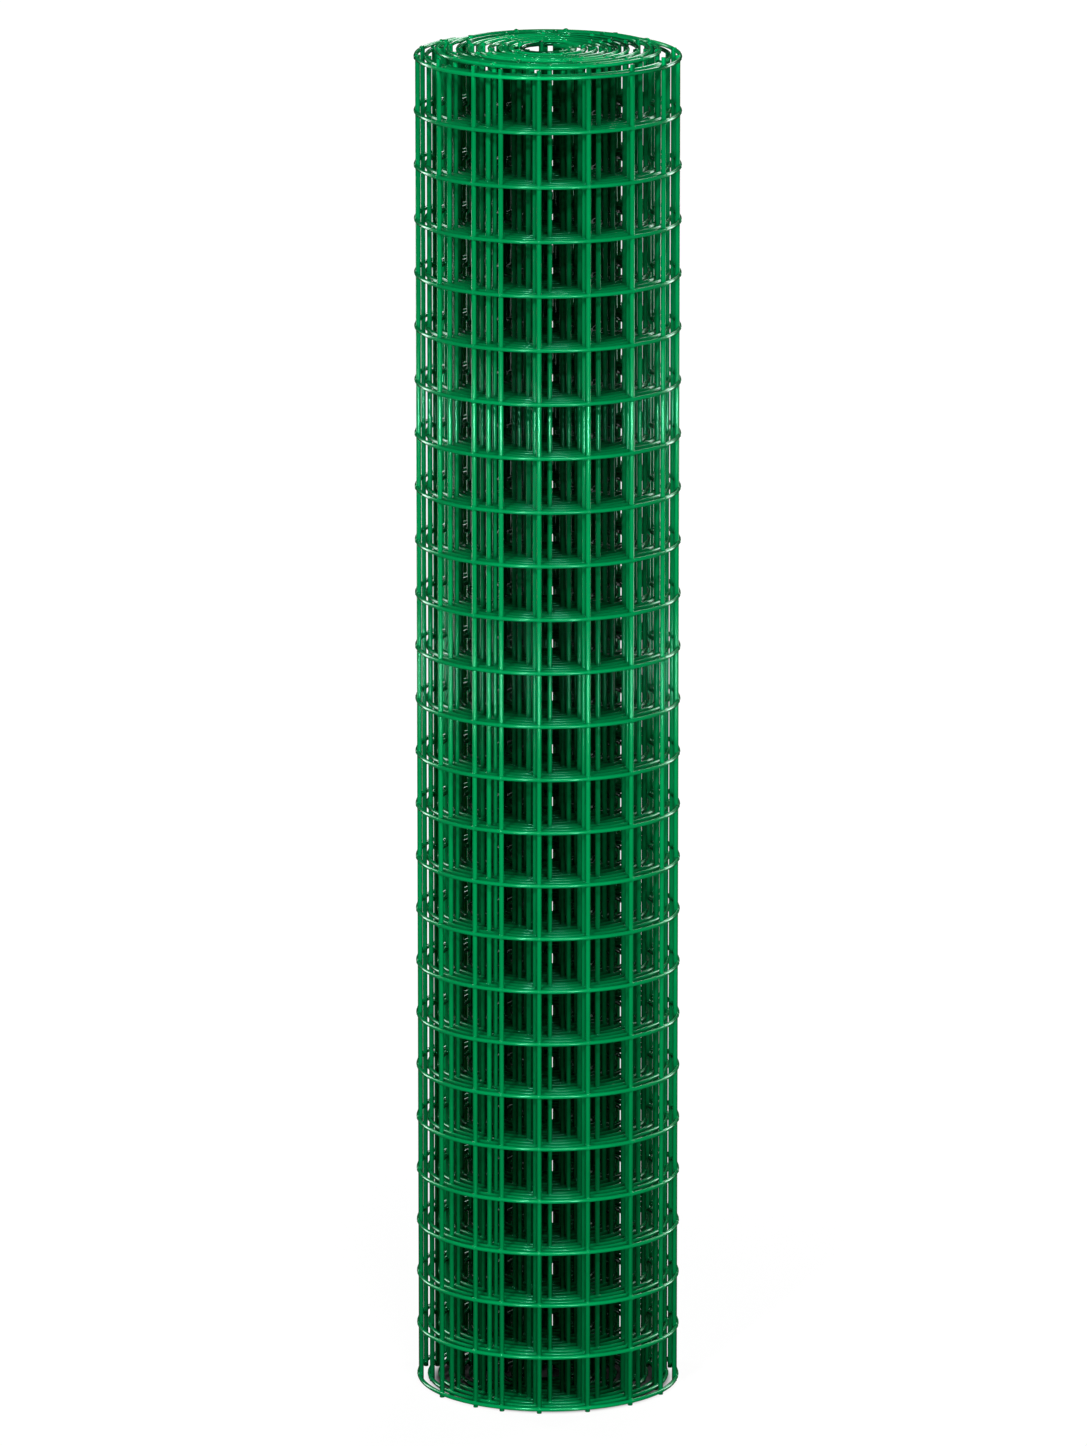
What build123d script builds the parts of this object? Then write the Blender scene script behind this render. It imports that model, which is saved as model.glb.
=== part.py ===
from build123d import *
import math
import os

# A roll of green plastic-coated welded mesh fencing, standing on one end, in millimetres.
# The mesh is one welded sheet: line wires run its length and so go round the roll, and stay
# wires cross them on the inside and so stand upright. The sheet is wound round an empty bore.
# Origin: on the roll's axis, at its foot. +Z runs up the roll, -Y is the front.

# The sheet
CELL = 50.0                # from one line wire to the next, one cell of the mesh
CELL_COUNT = 25            # cells across the sheet's width, with a line wire on each side
WIRE = 4.0                 # wire with its coating
FOOT_STUB = 5.0            # how far a stay wire runs past the lowest line wire's centre
TOP_STUB = 9.0             # and past the highest one's

# The winding
BORE_RADIUS = 12.5         # clear hole left in the middle
TURN_PITCH = 9.6           # from one turn to the next: a line wire, a stay wire and the slack
TURN_COUNT = 11            # whole turns from the loose end to the bore
LOOSE_TURN_COUNT = 2       # outer turns whose upper edge is pressed down
TOP_STEP = 6.0             # how much higher the upper edge of the other turns stands
LOOSE_END_ANGLE = 135.0    # where the sheet's loose end lies, from +X towards +Y

# A line wire's section has few sides
CROWN_FLAT = 1.6           # flat on its outermost side

# Worked out from the sizes above
HALF_STEP = TURN_PITCH / 2                 # the radius lost in half a turn
SHEET_THICKNESS = 2 * WIRE                 # a line wire outside, a stay wire inside
OUTER_RADIUS = BORE_RADIUS + SHEET_THICKNESS + TURN_COUNT * TURN_PITCH
SHEET_WIDTH = FOOT_STUB + CELL_COUNT * CELL + TOP_STUB
HALF_CIRCLE = 180.0


def half_turn_centre(half_turn):
    """Centre of a half turn. It swaps sides each time, which joins the half turns smoothly."""
    return HALF_STEP / 2 if half_turn % 2 == 0 else -HALF_STEP / 2


def half_turn_start(half_turn):
    """Angle at which a half turn starts."""
    return 0.0 if half_turn % 2 == 0 else HALF_CIRCLE


def half_turn_radius(half_turn, inset):
    """Radius of a half turn, counted inwards from the loose end, less an inset."""
    return OUTER_RADIUS - half_turn * HALF_STEP - inset


def half_arc(half_turn, inset):
    """Half a turn of the spiral, drawn on the ground."""
    centre = (half_turn_centre(half_turn), 0)
    radius = half_turn_radius(half_turn, inset)
    return CenterArc(centre, radius, half_turn_start(half_turn), HALF_CIRCLE)


def turned_outline(first_half_turn, inset=0.0):
    """Face inside one whole turn of the spiral, closed by the step at its start."""
    first = half_arc(first_half_turn, inset)
    second = half_arc(first_half_turn + 1, inset)
    step = Line(second @ 1, first @ 0)
    return make_face([first, second, step])


def spiral_ridge(first_half_turn, last_half_turn):
    """Face as thick as the wire that follows the turns, where the stay wires' tips stand."""
    turns = range(first_half_turn, last_half_turn)
    outer = [half_arc(n, WIRE) for n in turns]
    inner = [half_arc(n, SHEET_THICKNESS) for n in turns]
    caps = [Line(outer[0] @ 0, inner[0] @ 0), Line(outer[-1] @ 1, inner[-1] @ 1)]
    return make_face([*outer, *inner, *caps])


def standing(face, low, high):
    """The face stood up as a solid from one height to another."""
    return extrude(Plane.XY.offset(low) * face, amount=high - low)


def wound_turns(first_half_turn, last_half_turn, inside, top):
    """Some neighbouring turns: a body between the edge line wires, and a ridge on each end."""
    body_face = turned_outline(first_half_turn, WIRE) - inside
    body = standing(body_face, FOOT_STUB, top - TOP_STUB)
    ridge = spiral_ridge(first_half_turn, last_half_turn)
    foot_ridge = standing(ridge, 0, FOOT_STUB)
    top_ridge = standing(ridge, top - TOP_STUB, top)
    return body + foot_ridge + top_ridge


def line_wire_section(radius, height):
    """Section of a line wire that stands out of the outer turn."""
    half, flat = WIRE / 2, CROWN_FLAT / 2
    root = radius - WIRE - half
    corners = [
        (root, height - half),
        (radius - half, height - half),
        (radius, height - flat),
        (radius, height + flat),
        (radius - half, height + half),
        (root, height + half),
    ]
    return Plane.XZ * make_face(Polyline(*corners, close=True))


def half_ring(half_turn, height):
    """One line wire on half of the outer turn, turned about that half's own centre."""
    section = line_wire_section(half_turn_radius(half_turn, 0), height)
    ring = revolve(section, axis=Axis.Z, revolution_arc=HALF_CIRCLE)
    return Pos(half_turn_centre(half_turn), 0, 0) * Rot(0, 0, half_turn_start(half_turn)) * ring


def line_wires():
    """Every line wire round the outside of the outer turn."""
    heights = [FOOT_STUB + n * CELL for n in range(CELL_COUNT + 1)]
    return [half_ring(half_turn, height) for half_turn in (0, 1) for height in heights]


def mesh_roll():
    """The whole roll as one turned solid with its bore."""
    first_tight = 2 * LOOSE_TURN_COUNT
    bore = Circle(BORE_RADIUS)
    tight = wound_turns(first_tight, 2 * TURN_COUNT, bore, SHEET_WIDTH + TOP_STEP)
    loose = wound_turns(0, first_tight, turned_outline(first_tight, WIRE), SHEET_WIDTH)
    roll = tight + loose + line_wires()
    return Rot(0, 0, LOOSE_END_ANGLE) * roll


if __name__ == "__main__":
    os.makedirs("parts", exist_ok=True)
    roll = mesh_roll()
    longest_line = OUTER_RADIUS - WIRE / 2
    shortest_line = longest_line - TURN_COUNT * TURN_PITCH
    sheet_length = TURN_COUNT * math.pi * (longest_line + shortest_line)
    print("solids", len(roll.solids()), "faces", len(roll.faces()))
    print("outer radius", round(OUTER_RADIUS, 1), "sheet width", SHEET_WIDTH)
    print("sheet length, about", round(sheet_length))
    export_step(roll, "parts/mesh_roll.step")
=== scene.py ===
"""A roll of green coated welded mesh fencing, standing on one end on a pale floor.

The mesh is one welded sheet, wound in a spiral. Line wires run the sheet's length and go round
the roll, and stay wires cross them on the inside. Every wire and every weld is placed by how far
it lies along the sheet, counted from the loose end, and how high it stands. Lengths are in metres.
"""
import math
import random

import bpy
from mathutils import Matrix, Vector


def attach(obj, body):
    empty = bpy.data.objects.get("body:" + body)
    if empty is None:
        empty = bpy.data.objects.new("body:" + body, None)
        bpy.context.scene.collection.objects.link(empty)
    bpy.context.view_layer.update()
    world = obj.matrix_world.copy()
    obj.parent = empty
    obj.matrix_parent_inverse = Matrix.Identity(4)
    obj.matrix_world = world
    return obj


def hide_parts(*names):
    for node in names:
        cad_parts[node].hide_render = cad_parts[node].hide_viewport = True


bl_info = {
    "name": "Welded mesh roll",
    "version": (1, 0, 0),
    "blender": (4, 5, 0),
    "location": "View3D > Sidebar > Mesh roll",
    "description": "Builds a roll of coated welded mesh fencing from its wires and welds",
    "category": "Add Mesh",
}

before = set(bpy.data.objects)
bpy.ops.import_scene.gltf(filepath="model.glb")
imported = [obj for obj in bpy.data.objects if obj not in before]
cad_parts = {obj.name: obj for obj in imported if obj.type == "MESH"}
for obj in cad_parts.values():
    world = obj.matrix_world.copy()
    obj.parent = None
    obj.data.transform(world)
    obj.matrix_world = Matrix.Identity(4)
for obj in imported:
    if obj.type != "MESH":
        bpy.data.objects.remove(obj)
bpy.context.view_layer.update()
NODE = "mesh_roll"
COATING = "Dipped green PVC"
MM = 0.001

# The photograph's frame in pixels, where the roll stands in it, and the camera's sensor in mm
IMAGE_WIDTH = 1087
IMAGE_HEIGHT = 1446
ROLL_AXIS_X = 550.6
SENSOR = 36.0
FAR_CLIP = 60.0            # how far the camera sees, in metres

# How finely the meshes are cut
LINE_WIRE_SIDES = 8
STAY_WIRE_SIDES = 10
POINTS_PER_CELL = 5
BEAD_SEGMENTS = 8
BEAD_RINGS = 5

# How quickly the turns stray, as new values of the noise in each turn
SWAYS_PER_TURN = 5.3
RISES_PER_TURN = 3.1
RISE_START = 40.0          # keeps the two noises apart
STEP_RUN = 0.12            # turns on each side of the step that the upper edge takes to climb it

# The outer turn's cells from the loose end, one by one. They put the stay wires in LONG_TIPS,
# which stand at the front, within 3 pixels of the photograph's. The first two cells and the last,
# with First stay, were chosen so that the roll's two sides look closed from the front.
OUTER_CELLS = [n * MM for n in (42, 43.5, 62, 46, 28, 36, 46, 46, 46, 46, 44)]
LONG_TIPS = range(3, 10)
NEST_TRIES = 6             # places tried for each stay wire past the outer turn
INNER_END_GAP = 0.6        # share of a cell that stays free of stay wires at the inner end
SHORTEST_TIP = 0.7         # share of the longest tip

# The beads' sizes as shares of Bead: outwards, along the line wire and up
SMALLEST_BEAD = (0.95, 0.95, 0.9)
LARGEST_BEAD = (1.1, 1.15, 1.2)
BEAD_SEED = 9

# The coating's patterns, as how often they come in a metre
PATCHES_PER_METRE = 22.0   # patches of deeper green, some 45 mm long
RIPPLES_PER_METRE = 260.0  # ripples, some 4 mm long
SHADES_PER_METRE = 210.0   # a new painted brightness every 5 mm or so, which gives each turn its own
RIPPLE_DEPTH = 0.3 * MM
RIPPLE_STRENGTH = 0.18
SMOOTHEST = 0.12
ROUGHEST = 0.2
PVC_IOR = 1.53
FULL_GLOSS = 0.5           # specular level where the painted shade doesn't darken the coating

# Painted shade, for the dark inside of the roll: the coating is darkest within DARK_RADIUS of the
# axis, as long as it is below DARK_HEIGHT. It has its full colour past BRIGHT_RADIUS, and above
# BRIGHT_HEIGHT.
DARK_RADIUS = 72 * MM
BRIGHT_RADIUS = 119 * MM
DARK_HEIGHT = 1240 * MM
BRIGHT_HEIGHT = 1256 * MM
DARKEST = 0.17             # share of the colour and gloss that the painted shade leaves where it is darkest

# Painted light and shade near the top edge: how bright the turns are, and the span of the noise
# that is spread over that
DULLEST_TURN = 0.3
BRIGHTEST_TURN = 2.2
NOISE_LOW = 0.3
NOISE_HIGH = 0.7

# Distances from the axis on the floor. A painted shadow makes it dark under the roll and white beside
# it, and a faint painted shadow, which dims the floor's white, fades from SHADOW_START to SHADOW_END
UNDER_ROLL = 103 * MM
BESIDE_ROLL = 119 * MM
SHADOW_START = 0.3
SHADOW_END = 2.2
SHADOW_GLOW = 0.92         # share of the floor's own white that is left in the painted shadow
ROOM_LIGHT = 0.01          # strength of the light that comes from all round

# Each lamp's name, place, width and height, and power in watts. They all look at the middle.
MIDDLE = (0.0, 0.0, 0.65)
LAMPS = (
    ("Left key", (-3.7, -9.6, 7.6), (0.7, 0.7), 480),
    ("Right key", (2.1, -10.3, 7.6), (3.2, 0.6), 700),
    ("Left strip", (-1.3, -3.2, 0.4), (0.3, 0.8), 50),
    ("Right strip", (1.3, -3.2, 0.4), (0.3, 0.8), 50),
    ("Left rim", (-2.3, 1.9, 1.0), (0.6, 2.6), 45),
    ("Right rim", (2.3, 1.9, 1.0), (0.6, 2.6), 45),
    ("Back fill", (2.5, 9.5, 6.5), (3.0, 3.0), 260),
)


class MeshRollSheet(bpy.types.PropertyGroup):
    """Sizes of the flat sheet before it is wound."""

    wire: bpy.props.FloatProperty(
        name="Wire", description="Line wire with its coating, across", default=4 * MM, unit="LENGTH")
    stay_wire: bpy.props.FloatProperty(
        name="Stay wire", description="Stay wire with its coating, across", default=4.6 * MM,
        unit="LENGTH")
    cell: bpy.props.FloatProperty(
        name="Cell", description="From one line wire to the next", default=50 * MM, unit="LENGTH")
    cell_count: bpy.props.IntProperty(
        name="Cells high", description="Cells across the sheet's width", default=25)
    foot_stub: bpy.props.FloatProperty(
        name="Foot stub", description="Stay wire below the lowest line wire", default=5 * MM,
        unit="LENGTH")
    top_stub: bpy.props.FloatProperty(
        name="Top stub", description="Longest tip of a stay wire above the highest line wire",
        default=9 * MM, unit="LENGTH")
    first_stay: bpy.props.FloatProperty(
        name="First stay", description="From the cut end to the first stay wire", default=20 * MM,
        unit="LENGTH")
    set_down: bpy.props.FloatProperty(
        name="Set-down", description="How deep two wires sink into each other at a weld",
        default=2.4 * MM, unit="LENGTH")
    inner_tip: bpy.props.FloatProperty(
        name="Inner tip", description="Longest tip of the stay wires that are cut close",
        default=2.8 * MM, unit="LENGTH")
    inner_cell: bpy.props.FloatProperty(
        name="Inner cell", description="From one stay wire to the next past the outer turn",
        default=49.4 * MM, unit="LENGTH")
    scatter: bpy.props.FloatProperty(
        name="Scatter", description="How far an inner cell's length strays", default=4 * MM,
        unit="LENGTH")
    bead: bpy.props.FloatProperty(
        name="Bead", description="Radius of the bead of coating on a weld", default=2.88 * MM,
        unit="LENGTH")
    seed: bpy.props.IntProperty(
        name="Seed", description="Number that fixes the scatter", default=259)


class MeshRollWinding(bpy.types.PropertyGroup):
    """How the sheet is wound."""

    bore_radius: bpy.props.FloatProperty(
        name="Bore radius", description="Clear hole left in the middle", default=12.5 * MM,
        unit="LENGTH")
    turn_pitch: bpy.props.FloatProperty(
        name="Turn pitch", description="From one turn to the next", default=9.6 * MM, unit="LENGTH")
    turn_count: bpy.props.IntProperty(
        name="Turns", description="Whole turns from the loose end to the bore", default=11)
    loose_turns: bpy.props.IntProperty(
        name="Loose turns", description="Outer turns whose upper edge is pressed down", default=2)
    top_step: bpy.props.FloatProperty(
        name="Top step", description="How much higher the other turns' upper edge stands",
        default=6 * MM, unit="LENGTH")
    loose_end: bpy.props.FloatProperty(
        name="Loose end", description="Where the sheet's cut end lies, round from +X",
        default=math.radians(135), subtype="ANGLE")
    sway: bpy.props.FloatProperty(
        name="Sway", description="How far a turn strays in and out", default=0.7 * MM, unit="LENGTH")
    rise: bpy.props.FloatProperty(
        name="Rise", description="How far a turn strays up and down", default=0.9 * MM, unit="LENGTH")


class MeshRollFinish(bpy.types.PropertyGroup):
    """Colours of the plastic coating."""

    coat: bpy.props.StringProperty(
        name="Coat", description="Green of the coating, as a hex value", default="#009350")
    deep: bpy.props.StringProperty(
        name="Thick coat", description="Darker green where the coating is thick", default="#007A40")
    glint: bpy.props.StringProperty(
        name="Glint", description="Tint of the coating's highlights, as a hex value", default="#86FFD0")


class MeshRollStage(bpy.types.PropertyGroup):
    """Camera, floor and lamps."""

    distance: bpy.props.FloatProperty(
        name="Distance", description="From the roll's axis to the camera, level", default=9.685,
        unit="LENGTH")
    height: bpy.props.FloatProperty(
        name="Height", description="Camera above the floor", default=2.934, unit="LENGTH")
    pitch: bpy.props.FloatProperty(
        name="Pitch", description="How far the camera looks down", default=math.radians(13.38),
        subtype="ANGLE")
    focal_px: bpy.props.FloatProperty(
        name="Focal length in pixels", description="Of the photograph's frame", default=10775.0)
    floor: bpy.props.StringProperty(
        name="Floor", description="Grey of the floor that light bounces off, as a hex value",
        default="#3C3C3C")
    seen_floor: bpy.props.StringProperty(
        name="Seen floor", description="Grey of the floor on which the camera sees the shadow",
        default="#5F5F5F")


SETTINGS = {
    "mesh_roll_sheet": MeshRollSheet,
    "mesh_roll_winding": MeshRollWinding,
    "mesh_roll_finish": MeshRollFinish,
    "mesh_roll_stage": MeshRollStage,
}


def linear(hex_colour):
    """A hex sRGB colour as linear red, green, blue and alpha."""
    channels = [int(hex_colour[i:i + 2], 16) / 255 for i in (1, 3, 5)]
    curve = [c / 12.92 if c <= 0.04045 else ((c + 0.055) / 1.055) ** 2.4 for c in channels]
    return (*curve, 1.0)


def add(tree, kind, inputs=None, **settings):
    """Add a node, set its properties, and fill or link its sockets by name or number."""
    new = tree.nodes.new(kind)
    for name, value in settings.items():
        setattr(new, name, value)
    for key, value in (inputs or {}).items():
        if isinstance(value, bpy.types.NodeSocket):
            tree.links.new(value, new.inputs[key])
        else:
            new.inputs[key].default_value = value
    return new


def calculate(tree, operation, *values, clamp=False):
    """One step of arithmetic in a tree, as its output socket."""
    step = add(tree, "ShaderNodeMath", dict(enumerate(values)), operation=operation, use_clamp=clamp)
    return step.outputs[0]


def new_tree(name, inputs, outputs):
    """An empty geometry tree with its sockets, and its input and output nodes."""
    tree = bpy.data.node_groups.new(name, "GeometryNodeTree")
    for label, kind in inputs:
        tree.interface.new_socket(label, in_out="INPUT", socket_type="NodeSocket" + kind)
    for label, kind in outputs:
        tree.interface.new_socket(label, in_out="OUTPUT", socket_type="NodeSocket" + kind)
    source = tree.nodes.new("NodeGroupInput").outputs
    target = tree.nodes.new("NodeGroupOutput")
    return tree, source, target


WINDING_INPUTS = [
    ("Outer Radius", "Float"), ("Turn Pitch", "Float"), ("Loose Turns", "Float"),
    ("Loose End", "Float"), ("Sway", "Float"), ("Rise", "Float"),
]


def place_on_sheet_tree():
    """Turn a place on the flat sheet into a place in the roll.

    The sheet's line follows radius^2 = outer^2 - pitch * along / pi, which winds it at an even
    pitch. Two slow noises let each turn stray a little, in and out and up and down, the same at
    every height because the stay wires are straight.
    """
    tree, given, result = new_tree(
        "Place on sheet",
        [("Along", "Float"), ("Up", "Float"), ("Inset", "Float"), ("Top Step", "Float")]
        + WINDING_INPUTS,
        [("Place", "Vector"), ("Heading", "Float")])
    outer, pitch = given["Outer Radius"], given["Turn Pitch"]
    shed = calculate(tree, "DIVIDE", calculate(tree, "MULTIPLY", given["Along"], pitch), math.pi)
    outer_squared = calculate(tree, "MULTIPLY", outer, outer)
    radius = calculate(tree, "SQRT", calculate(tree, "SUBTRACT", outer_squared, shed))
    turned = calculate(tree, "DIVIDE", calculate(tree, "SUBTRACT", outer, radius), pitch)
    angle = calculate(tree, "MULTIPLY_ADD", turned, 2 * math.pi, given["Loose End"])

    sway = add(tree, "ShaderNodeTexNoise", {
        "W": calculate(tree, "MULTIPLY", turned, SWAYS_PER_TURN), "Scale": 1.0, "Detail": 1.0},
        noise_dimensions="1D")
    stray_out = calculate(tree, "MULTIPLY", calculate(tree, "SUBTRACT", sway.outputs[0], 0.5),
                          calculate(tree, "MULTIPLY", given["Sway"], 2.0))
    rise = add(tree, "ShaderNodeTexNoise", {
        "W": calculate(tree, "MULTIPLY_ADD", turned, RISES_PER_TURN, RISE_START),
        "Scale": 1.0, "Detail": 1.0}, noise_dimensions="1D")
    stray_up = calculate(tree, "MULTIPLY", calculate(tree, "SUBTRACT", rise.outputs[0], 0.5),
                         calculate(tree, "MULTIPLY", given["Rise"], 2.0))
    stepped = add(tree, "ShaderNodeMapRange", {
        "Value": turned,
        "From Min": calculate(tree, "SUBTRACT", given["Loose Turns"], STEP_RUN),
        "From Max": calculate(tree, "ADD", given["Loose Turns"], STEP_RUN),
        "To Min": 0.0, "To Max": given["Top Step"]}, interpolation_type="SMOOTHSTEP")

    reach = calculate(tree, "SUBTRACT", calculate(tree, "ADD", radius, stray_out), given["Inset"])
    place = add(tree, "ShaderNodeCombineXYZ", {
        "X": calculate(tree, "MULTIPLY", reach, calculate(tree, "COSINE", angle)),
        "Y": calculate(tree, "MULTIPLY", reach, calculate(tree, "SINE", angle)),
        "Z": calculate(tree, "ADD", calculate(tree, "ADD", given["Up"], stray_up), stepped.outputs[0])})
    tree.links.new(place.outputs[0], result.inputs["Place"])
    tree.links.new(angle, result.inputs["Heading"])
    return tree


def shared_tree(name, build):
    """The named tree, built once."""
    return bpy.data.node_groups.get(name) or build()


def place_on_sheet(tree, given, along, up, inset, top_step=0.0):
    """Add the place-on-sheet group to a tree that has the winding's inputs."""
    inputs = {label: given[label] for label, _ in WINDING_INPUTS}
    inputs.update({"Along": along, "Up": up, "Inset": inset, "Top Step": top_step})
    return add(tree, "GeometryNodeGroup", inputs,
               node_tree=shared_tree("Place on sheet", place_on_sheet_tree))


def index_of(tree):
    """The number of each point, from zero."""
    return tree.nodes.new("GeometryNodeInputIndex").outputs[0]


def finish_tree(tree, result, geometry, material):
    """Make instances real, shade them smooth, give them their material and hand them on."""
    real = add(tree, "GeometryNodeRealizeInstances", {"Geometry": geometry})
    smooth = add(tree, "GeometryNodeSetShadeSmooth", {"Geometry": real.outputs[0]})
    coated = add(tree, "GeometryNodeSetMaterial", {"Geometry": smooth.outputs[0], "Material": material})
    tree.links.new(coated.outputs[0], result.inputs["Geometry"])


def line_wire_tree():
    """One row of the sheet as a round wire that follows the winding, repeated up the roll."""
    tree, given, result = new_tree(
        "Line wires",
        [("Wire", "Float"), ("Sides", "Int"), ("Step", "Float"), ("Points", "Int"),
         ("Foot", "Float"), ("Cell", "Float"), ("Rows", "Int"), ("Top Step", "Float"),
         ("Material", "Material")] + WINDING_INPUTS,
        [("Geometry", "Geometry")])
    row = add(tree, "GeometryNodeMeshLine", {"Count": given["Points"]})
    along = calculate(tree, "MULTIPLY", index_of(tree), given["Step"])
    placed = place_on_sheet(tree, given, along, 0.0, 0.0, given["Top Step"])
    wound = add(tree, "GeometryNodeSetPosition",
                {"Geometry": row.outputs[0], "Position": placed.outputs["Place"]})
    path = add(tree, "GeometryNodeMeshToCurve", {"Mesh": wound.outputs[0]})
    section = add(tree, "GeometryNodeCurvePrimitiveCircle", {
        "Resolution": given["Sides"], "Radius": calculate(tree, "MULTIPLY", given["Wire"], 0.5)})
    wire = add(tree, "GeometryNodeCurveToMesh",
               {"Curve": path.outputs[0], "Profile Curve": section.outputs[0], "Fill Caps": True})
    climb = add(tree, "ShaderNodeCombineXYZ", {"Z": given["Cell"]})
    start = add(tree, "ShaderNodeCombineXYZ", {"Z": given["Foot"]})
    heights = add(tree, "GeometryNodeMeshLine", {
        "Count": given["Rows"], "Start Location": start.outputs[0], "Offset": climb.outputs[0]})
    rows = add(tree, "GeometryNodeInstanceOnPoints",
               {"Points": heights.outputs[0], "Instance": wire.outputs[0]})
    finish_tree(tree, result, rows.outputs[0], given["Material"])
    return tree


def stay_wire_tree():
    """A stay wire stood on each point of the carrier, which says how far along the sheet it is.

    Every foot is lifted by Rise, so that a turn that strays down doesn't reach below the floor.
    """
    tree, given, result = new_tree(
        "Stay wires",
        [("Geometry", "Geometry"), ("Wire", "Float"), ("Sides", "Int"), ("Length", "Float"),
         ("Inset", "Float"), ("Top Step", "Float"), ("Material", "Material")] + WINDING_INPUTS,
        [("Geometry", "Geometry")])
    along = add(tree, "GeometryNodeInputNamedAttribute", {"Name": "along"}, data_type="FLOAT")
    placed = place_on_sheet(tree, given, along.outputs[0], given["Rise"], given["Inset"])
    raised = place_on_sheet(
        tree, given, along.outputs[0], given["Rise"], given["Inset"], given["Top Step"])
    low = add(tree, "ShaderNodeSeparateXYZ", {0: placed.outputs["Place"]})
    high = add(tree, "ShaderNodeSeparateXYZ", {0: raised.outputs["Place"]})
    longer = calculate(tree, "SUBTRACT", high.outputs["Z"], low.outputs["Z"])
    tip = add(tree, "GeometryNodeInputNamedAttribute", {"Name": "tip"}, data_type="FLOAT")
    length = calculate(tree, "ADD", calculate(tree, "ADD", given["Length"], longer), tip.outputs[0])
    stand = add(tree, "GeometryNodeSetPosition",
                {"Geometry": given["Geometry"], "Position": placed.outputs["Place"]})
    rod = add(tree, "GeometryNodeMeshCylinder", {
        "Vertices": given["Sides"], "Side Segments": 1, "Fill Segments": 1,
        "Radius": calculate(tree, "MULTIPLY", given["Wire"], 0.5), "Depth": 1.0}, fill_type="NGON")
    upright = add(tree, "GeometryNodeTransform", {
        "Geometry": rod.outputs[0], "Translation": (0, 0, 0.5)})
    size = add(tree, "ShaderNodeCombineXYZ", {"X": 1.0, "Y": 1.0, "Z": length})
    turn = add(tree, "ShaderNodeCombineXYZ", {"Z": placed.outputs["Heading"]})
    stays = add(tree, "GeometryNodeInstanceOnPoints", {
        "Points": stand.outputs[0], "Instance": upright.outputs[0], "Rotation": turn.outputs[0],
        "Scale": size.outputs[0]})
    finish_tree(tree, result, stays.outputs[0], given["Material"])
    return tree


def weld_tree():
    """A bead of coating on each crossing, which fills the corners between the two wires."""
    tree, given, result = new_tree(
        "Welds",
        [("Geometry", "Geometry"), ("Bead", "Float"), ("Inset", "Float"), ("Foot", "Float"),
         ("Cell", "Float"), ("Rows", "Int"), ("Top Step", "Float"), ("Seed", "Int"),
         ("Material", "Material")] + WINDING_INPUTS,
        [("Geometry", "Geometry")])
    along = add(tree, "GeometryNodeInputNamedAttribute", {"Name": "along"}, data_type="FLOAT")
    placed = place_on_sheet(
        tree, given, along.outputs[0], given["Foot"], given["Inset"], given["Top Step"])
    stand = add(tree, "GeometryNodeSetPosition",
                {"Geometry": given["Geometry"], "Position": placed.outputs["Place"]})
    carried = add(tree, "GeometryNodeCaptureAttribute", {"Geometry": stand.outputs[0]}, domain="POINT")
    carried.capture_items.new("FLOAT", "Heading")
    tree.links.new(placed.outputs["Heading"], carried.inputs["Heading"])
    climb = add(tree, "ShaderNodeCombineXYZ", {"Z": given["Cell"]})
    heights = add(tree, "GeometryNodeMeshLine", {"Count": given["Rows"], "Offset": climb.outputs[0]})
    columns = add(tree, "GeometryNodeInstanceOnPoints",
                  {"Points": carried.outputs[0], "Instance": heights.outputs[0]})
    crossings = add(tree, "GeometryNodeRealizeInstances", {"Geometry": columns.outputs[0]})
    bead = add(tree, "GeometryNodeMeshUVSphere", {
        "Segments": BEAD_SEGMENTS, "Rings": BEAD_RINGS, "Radius": given["Bead"]})
    turn = add(tree, "ShaderNodeCombineXYZ", {"Z": carried.outputs["Heading"]})
    size = add(tree, "FunctionNodeRandomValue", {
        "Min": SMALLEST_BEAD, "Max": LARGEST_BEAD, "Seed": given["Seed"]},
        data_type="FLOAT_VECTOR")
    beads = add(tree, "GeometryNodeInstanceOnPoints", {
        "Points": crossings.outputs[0], "Instance": bead.outputs[0], "Rotation": turn.outputs[0],
        "Scale": size.outputs[0]})
    finish_tree(tree, result, beads.outputs[0], given["Material"])
    return tree


def winding_values(sheet, winding):
    """The winding's inputs, which every tree shares.

    Outer Radius is that of a line wire's centre at the loose end. At the inner end that centre
    lies one and a half wires from the solid's bore, as the solid has it.
    """
    turned_thickness = winding.turn_count * winding.turn_pitch
    return {
        "Outer Radius": winding.bore_radius + 1.5 * sheet.wire + turned_thickness,
        "Turn Pitch": winding.turn_pitch,
        "Loose Turns": float(winding.loose_turns),
        "Loose End": winding.loose_end,
        "Sway": winding.sway,
        "Rise": winding.rise,
    }


def sheet_length(values, turns):
    """Length of the sheet over that many turns, from the loose end."""
    outer = values["Outer Radius"]
    inner = outer - turns * values["Turn Pitch"]
    return math.pi * (outer**2 - inner**2) / values["Turn Pitch"]


def grown(name, tree, values, carrier=None):
    """Run a tree on a carrier mesh and return the result as a plain object that rides the roll."""
    carrier = carrier or bpy.data.meshes.new(name + "_carrier")
    seed = bpy.data.objects.new(name + "_seed", carrier)
    bpy.context.scene.collection.objects.link(seed)
    modifier = seed.modifiers.new("Grow", "NODES")
    modifier.node_group = tree
    for item in tree.interface.items_tree:
        if item.in_out == "INPUT" and item.name in values:
            modifier[item.identifier] = values[item.name]
    graph = bpy.context.evaluated_depsgraph_get()
    mesh = bpy.data.meshes.new_from_object(seed.evaluated_get(graph))
    bpy.data.objects.remove(seed)
    mesh.name = name
    piece = bpy.data.objects.new(name, mesh)
    bpy.context.scene.collection.objects.link(piece)
    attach(piece, "root")
    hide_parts(NODE)
    return piece


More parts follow.
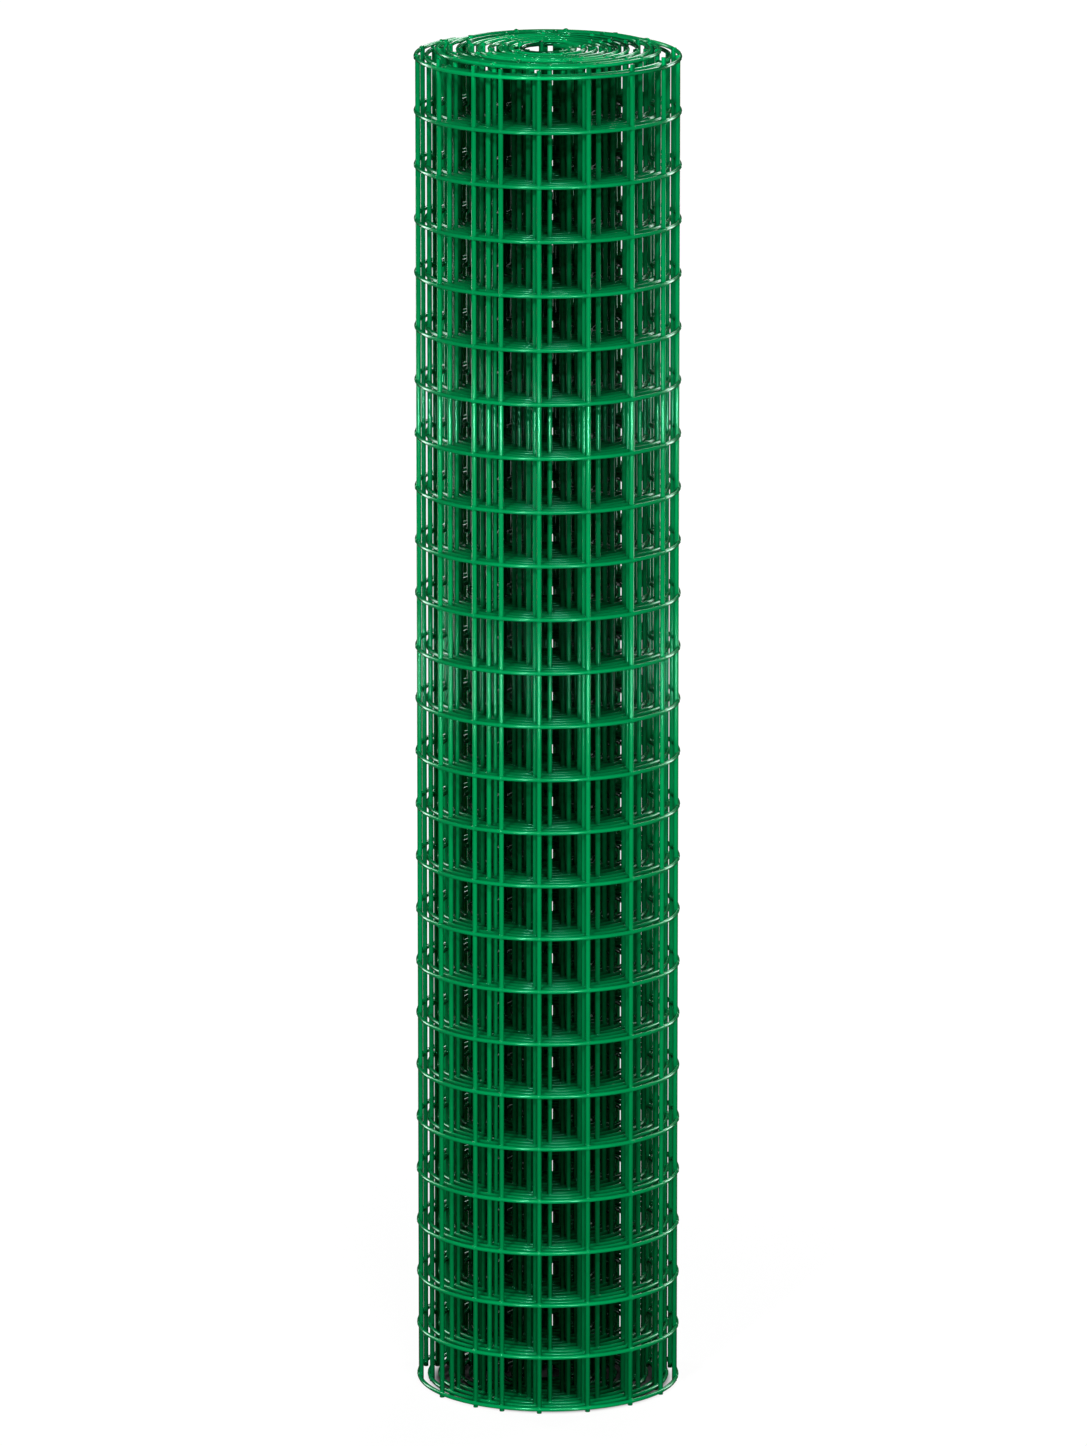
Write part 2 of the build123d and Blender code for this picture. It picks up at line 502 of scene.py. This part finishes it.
def stay_carrier(name, sheet, values, length):
    """A loose point for each stay wire, with its place along the sheet and its tip's length."""
    places = stay_places(sheet, values, length)
    mesh = bpy.data.meshes.new(name)
    mesh.from_pydata([(0.0, 0.0, 0.0)] * len(places), [], [])
    mesh.attributes.new("along", "FLOAT", "POINT").data.foreach_set("value", places)
    tips = tip_lengths(sheet, len(places))
    mesh.attributes.new("tip", "FLOAT", "POINT").data.foreach_set("value", tips)
    return mesh


def side_place(sheet, values, along):
    """How far to the right of the axis a stay wire stands there, seen from the front."""
    outer, pitch = values["Outer Radius"], values["Turn Pitch"]
    radius = math.sqrt(outer**2 - along * pitch / math.pi)
    angle = values["Loose End"] + 2 * math.pi * (outer - radius) / pitch
    return (radius - sheet.wire + sheet.set_down) * math.cos(angle)


def stay_places(sheet, values, length):
    """How far along the sheet each stay wire is.

    Past the outer turn a stay wire takes, out of a few places, the one that stands farthest aside
    from every wire before it, seen from the front. That closes the view from the front and leaves
    the views from the sides more open. Inner cell, Scatter, Seed and NEST_TRIES were picked
    together out of many thousand trials, by where the background shows through from the
    photograph's camera.
    """
    scatter = random.Random(sheet.seed)
    places = [sheet.first_stay]
    sides = [side_place(sheet, values, sheet.first_stay)]
    while places[-1] < length - INNER_END_GAP * sheet.inner_cell:
        cell = len(places) - 1
        if cell < len(OUTER_CELLS):
            steps = [OUTER_CELLS[cell]]
        else:
            steps = [sheet.inner_cell + scatter.uniform(-sheet.scatter, sheet.scatter)
                     for _ in range(NEST_TRIES)]
        tried = [min(places[-1] + step, length) for step in steps]
        clear = [min(abs(side_place(sheet, values, place) - side) for side in sides) for place in tried]
        places.append(tried[clear.index(max(clear))])
        sides.append(side_place(sheet, values, places[-1]))
    return places[:-1]


def tip_lengths(sheet, count):
    """How far each stay wire runs past the highest line wire's centre."""
    ragged = random.Random(sheet.seed)
    tips = []
    for n in range(count):
        full = sheet.top_stub if n in LONG_TIPS else sheet.inner_tip
        tips.append(full * ragged.uniform(SHORTEST_TIP, 1.0))
    return tips


def coating_material(finish):
    """Plastic-dipped steel wire: glossy PVC, laid on hot over the welded mesh.

    The dip flows before it sets, so the surface is smooth with a faint ripple, bright thin
    highlights and a slightly deeper green where it pooled. Towards the roll's axis it is painted
    darker and less glossy, a painted shade for the dark inside of the roll, because the lamps alone
    left it brighter than the photograph. Near the top edge its brightness is painted lighter or
    darker from turn to turn, a painted light and shade that draws the turns apart.
    """
    material = bpy.data.materials.new(COATING)
    material.use_nodes = True
    tree = material.node_tree
    tree.nodes.clear()
    place = add(tree, "ShaderNodeTexCoord").outputs["Object"]
    drift = add(tree, "ShaderNodeTexNoise", {
        "Vector": place, "Scale": PATCHES_PER_METRE, "Detail": 3.0})
    colour = add(tree, "ShaderNodeMix", {
        "Factor": drift.outputs[0], 6: linear(finish.deep), 7: linear(finish.coat)}, data_type="RGBA")
    level = add(tree, "ShaderNodeVectorMath", {0: place, 1: (1.0, 1.0, 0.0)}, operation="MULTIPLY")
    radius = add(tree, "ShaderNodeVectorMath", {0: level.outputs[0]}, operation="LENGTH").outputs["Value"]
    # Painted shade: darker towards the roll's axis, below the top edge.
    painted_shade_by_radius = add(tree, "ShaderNodeMapRange", {
        "Value": radius, "From Min": DARK_RADIUS, "From Max": BRIGHT_RADIUS,
        "To Min": DARKEST, "To Max": 1.0}, interpolation_type="SMOOTHSTEP")
    height = add(tree, "ShaderNodeSeparateXYZ", {0: place}).outputs["Z"]
    upward = add(tree, "ShaderNodeMapRange", {
        "Value": height, "From Min": DARK_HEIGHT, "From Max": BRIGHT_HEIGHT})
    painted_shade_share = calculate(tree, "MAXIMUM", painted_shade_by_radius.outputs[0], upward.outputs[0])
    # Painted light and shade near the top edge: each turn is made brighter or darker than the next.
    turn = add(tree, "ShaderNodeTexNoise", {
        "W": calculate(tree, "MULTIPLY", radius, SHADES_PER_METRE), "Scale": 1.0, "Detail": 0.0},
        noise_dimensions="1D")
    painted_turn_light = add(tree, "ShaderNodeMapRange", {
        "Value": turn.outputs[0], "From Min": NOISE_LOW, "From Max": NOISE_HIGH,
        "To Min": DULLEST_TURN, "To Max": BRIGHTEST_TURN})
    painted_top_light = add(tree, "ShaderNodeMix", {0: upward.outputs[0], 2: 1.0, 3: painted_turn_light.outputs[0]})
    shade = calculate(tree, "MULTIPLY", painted_shade_share, painted_top_light.outputs[0])
    shaded = add(
        tree, "ShaderNodeVectorMath", {0: colour.outputs[2], "Scale": shade}, operation="SCALE")
    ripple = add(tree, "ShaderNodeTexNoise", {
        "Vector": place, "Scale": RIPPLES_PER_METRE, "Detail": 2.0})
    bump = add(tree, "ShaderNodeBump", {
        "Height": ripple.outputs[0], "Strength": RIPPLE_STRENGTH, "Distance": RIPPLE_DEPTH})
    haze = add(tree, "ShaderNodeMapRange", {
        "Value": drift.outputs[0], "To Min": SMOOTHEST, "To Max": ROUGHEST})
    # The gloss is dimmed by the same painted shade.
    surface = add(tree, "ShaderNodeBsdfPrincipled", {
        "Base Color": shaded.outputs[0], "Roughness": haze.outputs[0], "Normal": bump.outputs[0],
        "IOR": PVC_IOR, "Specular IOR Level": calculate(tree, "MULTIPLY", painted_shade_share, FULL_GLOSS),
        "Specular Tint": linear(finish.glint)})
    add(tree, "ShaderNodeOutputMaterial", {"Surface": surface.outputs[0]})
    return material


def seen_directly(tree):
    """One for what the camera sees itself or through something clear, and zero for the rest."""
    rays = add(tree, "ShaderNodeLightPath").outputs
    return calculate(tree, "MAXIMUM", rays["Is Camera Ray"], rays["Is Transmission Ray"])


def white_floor(stage):
    """A matte floor that the camera sees as white beside the roll, and dark under it by a painted shadow.

    A faint shadow lies round the roll's foot, partly cast by the lamps and partly painted by dimming
    the floor's white. Light bounces off the floor as off a dark grey one.
    """
    material = bpy.data.materials.new("Studio floor")
    material.use_nodes = True
    tree = material.node_tree
    tree.nodes.clear()
    matte = add(tree, "ShaderNodeBsdfDiffuse", {"Color": linear(stage.floor)})
    shade = add(tree, "ShaderNodeBsdfDiffuse", {"Color": linear(stage.seen_floor)})
    place = add(tree, "ShaderNodeTexCoord").outputs["Object"]
    away = add(tree, "ShaderNodeVectorMath", {0: place}, operation="LENGTH").outputs["Value"]
    # Painted shadow: the floor's white is dimmed near the roll.
    painted_shadow_lift = add(tree, "ShaderNodeMapRange", {
        "Value": away, "From Min": SHADOW_START, "From Max": SHADOW_END,
        "To Min": SHADOW_GLOW, "To Max": 1.0}, interpolation_type="SMOOTHSTEP")
    # Painted shadow: the floor's white is taken away under the roll.
    outside_painted_shadow = add(tree, "ShaderNodeMapRange", {
        "Value": away, "From Min": UNDER_ROLL, "From Max": BESIDE_ROLL},
        interpolation_type="SMOOTHSTEP")
    strength = calculate(tree, "MULTIPLY", painted_shadow_lift.outputs[0], outside_painted_shadow.outputs[0])
    glow = add(tree, "ShaderNodeEmission", {"Color": (1, 1, 1, 1), "Strength": strength})
    pale = add(tree, "ShaderNodeAddShader", {0: shade.outputs[0], 1: glow.outputs[0]})
    seen = seen_directly(tree)
    surface = add(tree, "ShaderNodeMixShader", {0: seen, 1: matte.outputs[0], 2: pale.outputs[0]})
    add(tree, "ShaderNodeOutputMaterial", {"Surface": surface.outputs[0]})
    return material


def sizes(context):
    """The sizes of the sheet and of its winding."""
    return context.scene.mesh_roll_sheet, context.scene.mesh_roll_winding


def coating(context):
    """The roll's one material, made once."""
    return bpy.data.materials.get(COATING) or coating_material(context.scene.mesh_roll_finish)


class MESHROLL_OT_line_wires(bpy.types.Operator):
    """Wind every line wire of the sheet"""

    bl_idname = "mesh_roll.line_wires"
    bl_label = "Line wires"

    def execute(self, context):
        sheet, winding = sizes(context)
        values = winding_values(sheet, winding)
        tree = shared_tree("Line wires", line_wire_tree)
        length = sheet_length(values, winding.turn_count)
        step = sheet.cell / POINTS_PER_CELL
        values.update({
            "Wire": sheet.wire, "Sides": LINE_WIRE_SIDES, "Step": step,
            "Points": int(length / step), "Cell": sheet.cell, "Material": coating(context)})
        lower = (sheet.cell_count + 1) // 2
        halves = {
            "line_wires_lower": (0, lower),
            "line_wires_upper": (lower, sheet.cell_count - lower),
        }
        for name, (first, rows) in halves.items():
            grown(name, tree, {**values, "Foot": sheet.foot_stub + first * sheet.cell, "Rows": rows,
                               "Top Step": 0.0})
        grown("line_wire_top", tree, {**values, "Foot": sheet.foot_stub + sheet.cell_count * sheet.cell,
                                      "Rows": 1, "Top Step": winding.top_step})
        return {"FINISHED"}


class MESHROLL_OT_stay_wires(bpy.types.Operator):
    """Stand every stay wire inside the line wires"""

    bl_idname = "mesh_roll.stay_wires"
    bl_label = "Stay wires"

    def execute(self, context):
        sheet, winding = sizes(context)
        values = winding_values(sheet, winding)
        points = stay_carrier("stay_points", sheet, values, sheet_length(values, winding.turn_count))
        values.update({
            "Wire": sheet.stay_wire, "Sides": STAY_WIRE_SIDES, "Inset": sheet.wire - sheet.set_down,
            "Length": sheet.foot_stub + sheet.cell_count * sheet.cell - winding.rise,
            "Top Step": winding.top_step, "Material": coating(context)})
        grown("stay_wires", shared_tree("Stay wires", stay_wire_tree), values, points)
        return {"FINISHED"}


class MESHROLL_OT_welds(bpy.types.Operator):
    """Put a bead on every crossing"""

    bl_idname = "mesh_roll.welds"
    bl_label = "Welds"

    def execute(self, context):
        sheet, winding = sizes(context)
        values = winding_values(sheet, winding)
        points = stay_carrier("weld_points", sheet, values, sheet_length(values, winding.turn_count))
        tree = shared_tree("Welds", weld_tree)
        values.update({
            "Bead": sheet.bead, "Inset": 0.5 * (sheet.wire - sheet.set_down), "Cell": sheet.cell,
            "Seed": BEAD_SEED, "Material": coating(context)})
        grown("welds", tree, {**values, "Foot": sheet.foot_stub, "Rows": sheet.cell_count,
                              "Top Step": 0.0}, points)
        grown("welds_top", tree, {**values, "Foot": sheet.foot_stub + sheet.cell_count * sheet.cell,
                                  "Rows": 1, "Top Step": winding.top_step}, points.copy())
        return {"FINISHED"}


def soft_box(name, place, size, power):
    """A rectangular lamp that looks at the roll's middle."""
    lamp = bpy.data.lights.new(name, "AREA")
    lamp.shape = "RECTANGLE"
    lamp.size, lamp.size_y = size
    lamp.energy = power
    holder = bpy.data.objects.new(name, lamp)
    holder.location = place
    holder.rotation_euler = (Vector(MIDDLE) - Vector(place)).to_track_quat("-Z", "Y").to_euler()
    bpy.context.scene.collection.objects.link(holder)


def set_camera(stage):
    """A long lens, so far off that the roll narrows only a little towards its foot."""
    lens = bpy.data.cameras.new("Camera")
    lens.sensor_fit = "VERTICAL"
    lens.sensor_height = SENSOR
    lens.lens = stage.focal_px / IMAGE_HEIGHT * SENSOR
    lens.shift_x = (IMAGE_WIDTH / 2 - ROLL_AXIS_X) / IMAGE_HEIGHT
    lens.clip_end = FAR_CLIP
    camera = bpy.data.objects.new("Camera", lens)
    camera.location = (0.0, -stage.distance, stage.height)
    camera.rotation_euler = (math.radians(90) - stage.pitch, 0.0, 0.0)
    bpy.context.scene.collection.objects.link(camera)
    bpy.context.scene.camera = camera


def set_floor(stage):
    """A wide floor at the roll's foot."""
    half = 14.0
    mesh = bpy.data.meshes.new("floor")
    corners = [(-half, -half), (half, -half), (half, half), (-half, half)]
    mesh.from_pydata([(x, y, 0.0) for x, y in corners], [], [(0, 1, 2, 3)])
    mesh.materials.append(white_floor(stage))
    floor = bpy.data.objects.new("floor", mesh)
    bpy.context.scene.collection.objects.link(floor)


def set_world():
    """White all round wherever it is seen, from which almost no light falls on the roll."""
    world = bpy.data.worlds.new("Studio")
    world.use_nodes = True
    tree = world.node_tree
    tree.nodes.clear()
    seen = seen_directly(tree)
    strength = add(tree, "ShaderNodeMapRange", {"Value": seen, "To Min": ROOM_LIGHT, "To Max": 1.0})
    light = add(tree, "ShaderNodeBackground", {"Color": (1, 1, 1, 1), "Strength": strength.outputs[0]})
    add(tree, "ShaderNodeOutputWorld", {"Surface": light.outputs[0]})
    bpy.context.scene.world = world


class MESHROLL_OT_stage(bpy.types.Operator):
    """Set the camera, the floor and the lamps"""

    bl_idname = "mesh_roll.stage"
    bl_label = "Stage"

    def execute(self, context):
        stage = context.scene.mesh_roll_stage
        set_camera(stage)
        set_floor(stage)
        set_world()
        for name, place, size, power in LAMPS:
            soft_box(name, place, size, power)
        context.scene.view_settings.view_transform = "Standard"
        return {"FINISHED"}


class MESHROLL_PT_panel(bpy.types.Panel):
    """The roll's pieces and sizes"""

    bl_idname = "MESHROLL_PT_panel"
    bl_label = "Mesh roll"
    bl_space_type = "VIEW_3D"
    bl_region_type = "UI"
    bl_category = "Mesh roll"

    def draw(self, context):
        for name, group in SETTINGS.items():
            box = self.layout.box()
            for field in group.__annotations__:
                box.prop(getattr(context.scene, name), field)
        for operator in PIECES:
            self.layout.operator(operator.bl_idname)


PIECES = (MESHROLL_OT_line_wires, MESHROLL_OT_stay_wires, MESHROLL_OT_welds, MESHROLL_OT_stage)
CLASSES = (*SETTINGS.values(), *PIECES, MESHROLL_PT_panel)


def register():
    """Make the classes and the scene's settings known."""
    for cls in CLASSES:
        bpy.utils.register_class(cls)
    for name, group in SETTINGS.items():
        setattr(bpy.types.Scene, name, bpy.props.PointerProperty(type=group))


def unregister():
    """Take the settings and the classes away again."""
    for name in SETTINGS:
        delattr(bpy.types.Scene, name)
    for cls in reversed(CLASSES):
        bpy.utils.unregister_class(cls)


def main():
    """Build the roll and its stage."""
    register()
    bpy.ops.mesh_roll.line_wires()
    bpy.ops.mesh_roll.stay_wires()
    bpy.ops.mesh_roll.welds()
    bpy.ops.mesh_roll.stage()


if __name__ == "__main__":
    main()
